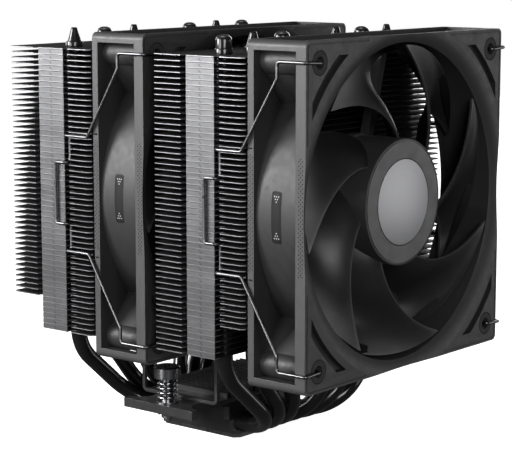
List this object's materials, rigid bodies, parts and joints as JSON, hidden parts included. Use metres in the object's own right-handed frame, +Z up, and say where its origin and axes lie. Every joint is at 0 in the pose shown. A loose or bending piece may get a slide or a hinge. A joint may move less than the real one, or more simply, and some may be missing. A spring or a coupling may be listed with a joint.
{
  "type": "cpu tower cooler",
  "caption": "Black twin-tower processor air cooler with heat pipes through folded fin stacks, fans held by wire clips and spring screws on a cross bar.",
  "frame": {"origin": "centre of the cold plate's underside, which touches the processor", "axes": "+Z up from the cold plate towards the pipe ends, +Y along the airflow from the front fan to the rear tower, +X towards the right of the front fan seen from in front"},
  "size_m": [0.123, 0.1439, 0.1544],
  "materials": {
    "plate_copper": "satin",
    "base_metal": "satin",
    "bar_steel": "satin",
    "screw_steel": "satin",
    "spring_steel": "polished",
    "pipe_metal": "gloss",
    "fin_metal": "satin",
    "frame_plastic": "matte",
    "pad_rubber": "matte",
    "bearing_metal": "satin",
    "core_steel": "satin",
    "coil_copper": "gloss",
    "board": "satin",
    "label_film": "satin",
    "blade_plastic": "satin",
    "badge_metal": "satin",
    "magnet_rubber": "matte",
    "wire_steel": "gloss"
  },
  "bodies": {
    "heatsink": {"cold_plate": "plate_copper", "base_block": "base_metal", "pipe_clamp": "base_metal", "mounting_bar": "bar_steel", "bar_screws": "screw_steel", "base_fins": "base_metal", "support_bracket_left": "bar_steel", "support_bracket_right": "bar_steel", "heat_pipe_1": "pipe_metal", "heat_pipe_2": "pipe_metal", "heat_pipe_3": "pipe_metal", "heat_pipe_4": "pipe_metal", "heat_pipe_5": "pipe_metal", "heat_pipe_6": "pipe_metal", "front_fin_stack": "fin_metal", "rear_fin_stack": "fin_metal", "spring_washer_left": "screw_steel", "spring_washer_right": "screw_steel"},
    "left_plunger": {"retaining_ring_left": "screw_steel", "spring_left": "spring_steel"},
    "left_screw": {"spring_screw_left": "screw_steel"},
    "right_plunger": {"retaining_ring_right": "screw_steel", "spring_right": "spring_steel"},
    "right_screw": {"spring_screw_right": "screw_steel"},
    "front_fan": {"front_fan_frame": "frame_plastic", "front_fan_corner_pads": "pad_rubber", "front_fan_bearing": "bearing_metal", "front_fan_stator_core": "core_steel", "front_fan_coils": "coil_copper", "front_fan_motor_board": "board", "front_fan_label": "label_film"},
    "front_rotor": {"front_fan_impeller": "blade_plastic", "front_fan_hub_badge": "badge_metal", "front_fan_rotor_cup": "core_steel", "front_fan_magnet": "magnet_rubber", "front_fan_shaft": "screw_steel", "front_fan_lock_ring": "board"},
    "front_left_clip": {"front_fan_clip_left": "wire_steel"},
    "front_right_clip": {"front_fan_clip_right": "wire_steel"},
    "middle_fan": {"middle_fan_frame": "frame_plastic", "middle_fan_corner_pads": "pad_rubber", "middle_fan_bearing": "bearing_metal", "middle_fan_stator_core": "core_steel", "middle_fan_coils": "coil_copper", "middle_fan_motor_board": "board", "middle_fan_label": "label_film"},
    "middle_rotor": {"middle_fan_impeller": "blade_plastic", "middle_fan_hub_badge": "badge_metal", "middle_fan_rotor_cup": "core_steel", "middle_fan_magnet": "magnet_rubber", "middle_fan_shaft": "screw_steel", "middle_fan_lock_ring": "board"},
    "middle_left_clip": {"middle_fan_clip_left": "wire_steel"},
    "middle_right_clip": {"middle_fan_clip_right": "wire_steel"}
  },
  "joints": [
    {"name": "left_screw_press", "type": "slide", "parent": "heatsink", "child": "left_plunger", "axis": [0, 0, -1], "range_m": [0, 0.004], "stiffness_N_per_m": 1500, "springref_m": -0.002, "deforming": ["spring_left"]},
    {"name": "left_screw_turn", "type": "hinge", "parent": "left_plunger", "child": "left_screw", "pos_m": [-0.039, 0, 0.02], "axis": [0, 0, 1], "continuous": true},
    {"name": "right_screw_press", "type": "slide", "parent": "heatsink", "child": "right_plunger", "axis": [0, 0, -1], "range_m": [0, 0.004], "stiffness_N_per_m": 1500, "springref_m": -0.002, "deforming": ["spring_right"]},
    {"name": "right_screw_turn", "type": "hinge", "parent": "right_plunger", "child": "right_screw", "pos_m": [0.039, 0, 0.02], "axis": [0, 0, 1], "continuous": true},
    {"name": "front_fan_height", "type": "slide", "parent": "heatsink", "child": "front_fan", "axis": [0, 0, 1], "range_m": [0, 0.025]},
    {"name": "front_rotor_spin", "type": "hinge", "parent": "front_fan", "child": "front_rotor", "pos_m": [0, -0.0694, 0.0936], "axis": [0, 1, 0], "continuous": true},
    {"name": "front_left_clip_swing", "type": "hinge", "parent": "front_fan", "child": "front_left_clip", "pos_m": [-0.0525, -0.0829, 0.0936], "axis": [0, 0, 1], "range_deg": [0, 18]},
    {"name": "front_right_clip_swing", "type": "hinge", "parent": "front_fan", "child": "front_right_clip", "pos_m": [0.0525, -0.0829, 0.0936], "axis": [0, 0, -1], "range_deg": [0, 18]},
    {"name": "middle_fan_height", "type": "slide", "parent": "heatsink", "child": "middle_fan", "axis": [0, 0, 1], "range_m": [0, 0.025]},
    {"name": "middle_rotor_spin", "type": "hinge", "parent": "middle_fan", "child": "middle_rotor", "pos_m": [0, 0.0039, 0.0936], "axis": [0, 1, 0], "continuous": true},
    {"name": "middle_left_clip_swing", "type": "hinge", "parent": "middle_fan", "child": "middle_left_clip", "pos_m": [-0.0525, -0.0096, 0.0936], "axis": [0, 0, 1], "range_deg": [0, 18]},
    {"name": "middle_right_clip_swing", "type": "hinge", "parent": "middle_fan", "child": "middle_right_clip", "pos_m": [0.0525, -0.0096, 0.0936], "axis": [0, 0, -1], "range_deg": [0, 18]}
  ]
}
